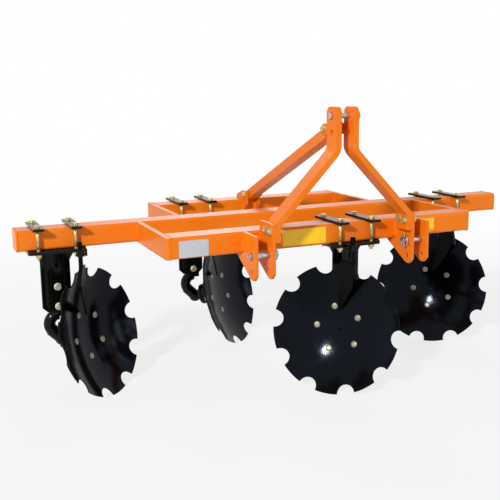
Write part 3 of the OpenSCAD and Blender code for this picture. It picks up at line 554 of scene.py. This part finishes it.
# Painted welds of the frame: side plates, end plates, hitch plates and stay bracket
mesh = Mesh()
low, high = UNDER_Z + TUBE_ROUND, TOP_Z - TUBE_ROUND
for wide, bar, face, inner in ((FRONT_L, FRONT_Y, BEAM_Y - TUBE_W / 2, FRONT_Y + TUBE_W / 2),
                               (REAR_L, REAR_Y, BEAM_Y + TUBE_W / 2, REAR_FACE)):
    for s in (-1, 1):
        edge = s * (wide / 2 - SIDE_T)
        ends = bar - TUBE_W / 2 + TUBE_ROUND, bar + TUBE_W / 2 - TUBE_ROUND
        bead(mesh, [(s * wide / 2, face, low), (s * wide / 2, face, high)], WELD)
        bead(mesh, [(edge, face, low), (edge, face, high)], WELD)
        bead(mesh, [(edge, inner, low), (edge, inner, high)], WELD)
        bead(mesh, [(edge, ends[0], TOP_Z), (edge, ends[1], TOP_Z)], WELD_FLUSH)
        bead(mesh, [(edge, ends[0], UNDER_Z), (edge, ends[1], UNDER_Z)], WELD_FLUSH)
for s in (-1, 1):
    bead(mesh, tube_ring(s * (BEAM_L / 2 - CAP_T), BEAM_Y), WELD_CAP, closed=True, up=(1.0, 0.01, 0.02))
for s in (-1, 1):
    for x in (INNER_X, INNER_X + HITCH_T, OUTER_X, OUTER_X + HITCH_T):
        bead(mesh, [(s * x, FRONT_FACE, low), (s * x, FRONT_FACE, high)], WELD)
        ends = FRONT_FACE + TUBE_ROUND, FRONT_Y + TUBE_W / 4 - WELD_SMALL
        bead(mesh, [(s * x, ends[0], UNDER_Z), (s * x, ends[1], UNDER_Z)], WELD)
    for x in (MAST_GAP / 2, MAST_GAP / 2 + STAY_PLATE):
        ends = REAR_FACE + TUBE_ROUND, REAR_Y + TUBE_W / 4 - WELD_SMALL
        bead(mesh, [(s * x, ends[0], TOP_Z), (s * x, ends[1], TOP_Z)], WELD_SMALL)
        ends = TOP_Z - TUBE_H * BRACKET_SHARE + WELD_SMALL, TOP_Z - TUBE_ROUND
        bead(mesh, [(s * x, REAR_FACE, ends[0]), (s * x, REAR_FACE, ends[1])], WELD_SMALL)
mesh.piece("frame_welds", orange, "frame")

# Black welds between legs, gussets and base plates
mesh = Mesh()
for k, (_, clamp, leg) in CLAMPS.items():
    x, y = clamp + leg, TUBE_Y[k] + LEG_BACK
    back, front = y + LEG_D / 2, y + LEG_D / 2 - LEG_T
    half = LEG_W / 2 + GUSSET_L * TAIL_SHARE - GUSSET_IN
    bead(mesh, [(x - half, front, BASE_Z), (x + half, front, BASE_Z)], WELD)
    bead(mesh, [(x - half, back - TAIL_IN, BASE_Z), (x + half, back - TAIL_IN, BASE_Z)], WELD_SMALL)
    cheek = SHANK_W / 2 + SHANK_GAP + LEG_T
    for s in (-1, 1):
        ends = front - SHANK_D + WELD_SMALL, front - WELD_SMALL
        bead(mesh, [(x + s * cheek, ends[0], BASE_Z), (x + s * cheek, ends[1], BASE_Z)], WELD_SMALL)
        ends = LEG_Z + CHEEK_RISE, BASE_Z - CHEEK_DROP
        bead(mesh, [(x + s * cheek, front, ends[0]), (x + s * cheek, front, ends[1])], WELD_SMALL)
mesh.piece("leg_welds", black, "frame")

# Weld round each hub's barrel at its flange
for k in CLAMPS:
    mesh = Mesh()
    m = disc_matrix(k)
    ring = [m @ Vector(p) for p in circle(HUB_R, -HUB_FACE - HUB_FLANGE_T, 48)]
    bead(mesh, ring, WELD_HUB, pitch=6.0, closed=True, up=tuple(m.to_3x3() @ Vector((0.02, 0.01, 1.0))))
    mesh.piece(f"hub_weld_{k}", black, f"roller_{k}")


def panel(mesh, x0, x1, z0, z1, y, t, r):
    """Thin plate with round corners on a face that looks towards -Y."""
    ring = []
    for q, (cx, cz) in enumerate(((x1 - r, z1 - r), (x0 + r, z1 - r), (x0 + r, z0 + r), (x1 - r, z0 + r))):
        for i in range(5):
            a = math.pi / 2 * (q + i / 4)
            ring.append((cx + r * math.cos(a), cz + r * math.sin(a)))
    mx, mz = (x0 + x1) / 2, (z0 + z1) / 2
    soft = [(mx + (x - mx) * (1 - t * 0.4 / (x1 - x0)), mz + (z - mz) * (1 - t * 0.4 / (z1 - z0)))
            for x, z in ring]
    mesh.loft([[(x, y, z) for x, z in ring], [(x, y - t * 0.7, z) for x, z in ring],
               [(x, y - t, z) for x, z in soft]], smooth=False)


# Blank metal plate on the front bar, held by four rivets
mesh = Mesh()
left, right, low, high = PLATE
panel(mesh, left, right, TOP_Z - low, TOP_Z - high, FRONT_FACE, PLATE_T, PLATE_ROUND)
for x in (left + RIVET_IN, right - RIVET_IN):
    for z in (TOP_Z - low + RIVET_IN, TOP_Z - high - RIVET_IN):
        m = along((x, FRONT_FACE - PLATE_T, z), (0, -1, 0))
        mesh.loft([circle(RIVET_R * math.cos(a), RIVET_H * math.sin(a), RIVET_SIDES)
                   for a in (0.0, 0.5, 0.9, 1.3)], m)
mesh.piece("blank_plate", plate_metal, "frame")

# Blank yellow panels on the front bar
mesh = Mesh()
for left, right, low, high in PANELS:
    panel(mesh, left, right, TOP_Z - low, TOP_Z - high, FRONT_FACE, PANEL_T, PANEL_ROUND)
mesh.piece("blank_panel", vinyl, "frame")


# Stage, light and camera, in metres

FLOOR_SIZE, FLOOR_PALE = 120.0, 0.74
GLOW_NEAR, GLOW_FAR, GLOW_START, GLOW_END = 0.76, 1.0, 1.6, 6.0
WORLD_LIGHT = 0.34
AIM = (0.0, 0.0, 0.6)


def seen(tree):
    """One for rays that show the background to the camera, in gloss or through glass."""
    path = tree.nodes.new("ShaderNodeLightPath")
    total = path.outputs["Is Camera Ray"]
    for other in ("Is Glossy Ray", "Is Transmission Ray"):
        add = tree.nodes.new("ShaderNodeMath")
        add.operation = "ADD"
        add.use_clamp = True
        tree.links.new(total, add.inputs[0])
        tree.links.new(path.outputs[other], add.inputs[1])
        total = add.outputs[0]
    return total


bpy.ops.mesh.primitive_grid_add(x_subdivisions=4, y_subdivisions=4, size=FLOOR_SIZE, location=(0.0, 0.0, 0.0))
floor = bpy.context.object
floor.name = "floor"
floor_mat = bpy.data.materials.new("pale_floor")
floor_mat.use_nodes = True
tree = floor_mat.node_tree
tree.nodes.clear()
out = tree.nodes.new("ShaderNodeOutputMaterial")
pale = tree.nodes.new("ShaderNodeBsdfDiffuse")
pale.inputs["Color"].default_value = (FLOOR_PALE, FLOOR_PALE, FLOOR_PALE, 1.0)
glow = tree.nodes.new("ShaderNodeEmission")
glow.inputs["Color"].default_value = (1.0, 1.0, 1.0, 1.0)
# The floor glows to full white away from the part, so no horizon shows
spot = tree.nodes.new("ShaderNodeNewGeometry")
far = tree.nodes.new("ShaderNodeVectorMath")
far.operation = "LENGTH"
tree.links.new(spot.outputs["Position"], far.inputs[0])
level = tree.nodes.new("ShaderNodeMapRange")
level.interpolation_type = "SMOOTHSTEP"
level.inputs["From Min"].default_value = GLOW_START
level.inputs["From Max"].default_value = GLOW_END
level.inputs["To Min"].default_value = GLOW_NEAR
level.inputs["To Max"].default_value = GLOW_FAR
tree.links.new(far.outputs["Value"], level.inputs["Value"])
share = tree.nodes.new("ShaderNodeMath")
share.operation = "MULTIPLY"
tree.links.new(seen(tree), share.inputs[0])
tree.links.new(level.outputs["Result"], share.inputs[1])
both = tree.nodes.new("ShaderNodeMixShader")
tree.links.new(share.outputs[0], both.inputs[0])
tree.links.new(pale.outputs[0], both.inputs[1])
tree.links.new(glow.outputs[0], both.inputs[2])
tree.links.new(both.outputs[0], out.inputs["Surface"])
floor.data.materials.append(floor_mat)

world = bpy.data.worlds.new("studio")
bpy.context.scene.world = world
world.use_nodes = True
tree = world.node_tree
tree.nodes.clear()
out = tree.nodes.new("ShaderNodeOutputWorld")
light = tree.nodes.new("ShaderNodeBackground")
light.inputs["Color"].default_value = (0.95, 0.97, 1.0, 1.0)
light.inputs["Strength"].default_value = WORLD_LIGHT
shown = tree.nodes.new("ShaderNodeBackground")
shown.inputs["Color"].default_value = (1.0, 1.0, 1.0, 1.0)
shown.inputs["Strength"].default_value = 1.0
both = tree.nodes.new("ShaderNodeMixShader")
tree.links.new(seen(tree), both.inputs[0])
tree.links.new(light.outputs[0], both.inputs[1])
tree.links.new(shown.outputs[0], both.inputs[2])
tree.links.new(both.outputs[0], out.inputs["Surface"])


def lamp(name, place, size, power, colour=(1.0, 1.0, 1.0)):
    """Round soft lamp that looks at the part's middle."""
    data = bpy.data.lights.new(name, "AREA")
    data.shape = "DISK"
    data.size = size
    data.energy = power
    data.color = colour
    obj = bpy.data.objects.new(name, data)
    obj.location = place
    obj.rotation_euler = (Vector(AIM) - Vector(place)).to_track_quat("-Z", "Y").to_euler()
    bpy.context.scene.collection.objects.link(obj)


lamp("key", (-9.5, -8.1, 6.9), 1.0, 1560.0, (1.0, 0.98, 0.95))
lamp("fill", (5.5, -3.5, 3.0), 4.0, 110.0)
lamp("rear", (2.0, 6.0, 4.5), 4.0, 150.0)

# Camera fitted to the photograph: its place in units of 1.03 mm from the main beam's top, angles in radians,
# focal length and the picture's centre in pixels
UNIT, IMAGE, SENSOR = 1.03, 500, 36.0
away = (-1757.81, -3635.27, 621.31)
yaw, pitch, roll, focal = 0.41815, 0.18407, -0.01025, 776.13443
centre = (257.288, 232.883)
place = Vector((away[0] * UNIT, away[1] * UNIT + BEAM_Y, away[2] * UNIT + TOP_Z)) * MM
ahead = Vector((math.sin(yaw) * math.cos(pitch), math.cos(yaw) * math.cos(pitch), -math.sin(pitch)))
right = ahead.cross(Vector((0, 0, 1))).normalized()
above = right.cross(ahead)
turned = right * math.cos(roll) + above * math.sin(roll)
above = above * math.cos(roll) - right * math.sin(roll)
data = bpy.data.cameras.new("camera")
data.sensor_width = SENSOR
data.lens = focal / IMAGE * SENSOR
data.shift_x = (IMAGE / 2 - centre[0]) / IMAGE
data.shift_y = (centre[1] - IMAGE / 2) / IMAGE
data.clip_end = 200.0
camera = bpy.data.objects.new("camera", data)
camera.matrix_world = Matrix((
    (turned.x, above.x, -ahead.x, place.x),
    (turned.y, above.y, -ahead.y, place.y),
    (turned.z, above.z, -ahead.z, place.z),
    (0, 0, 0, 1)))
bpy.context.scene.collection.objects.link(camera)
bpy.context.scene.camera = camera
bpy.context.scene.view_settings.view_transform = "Standard"

bpy.context.view_layer.update()
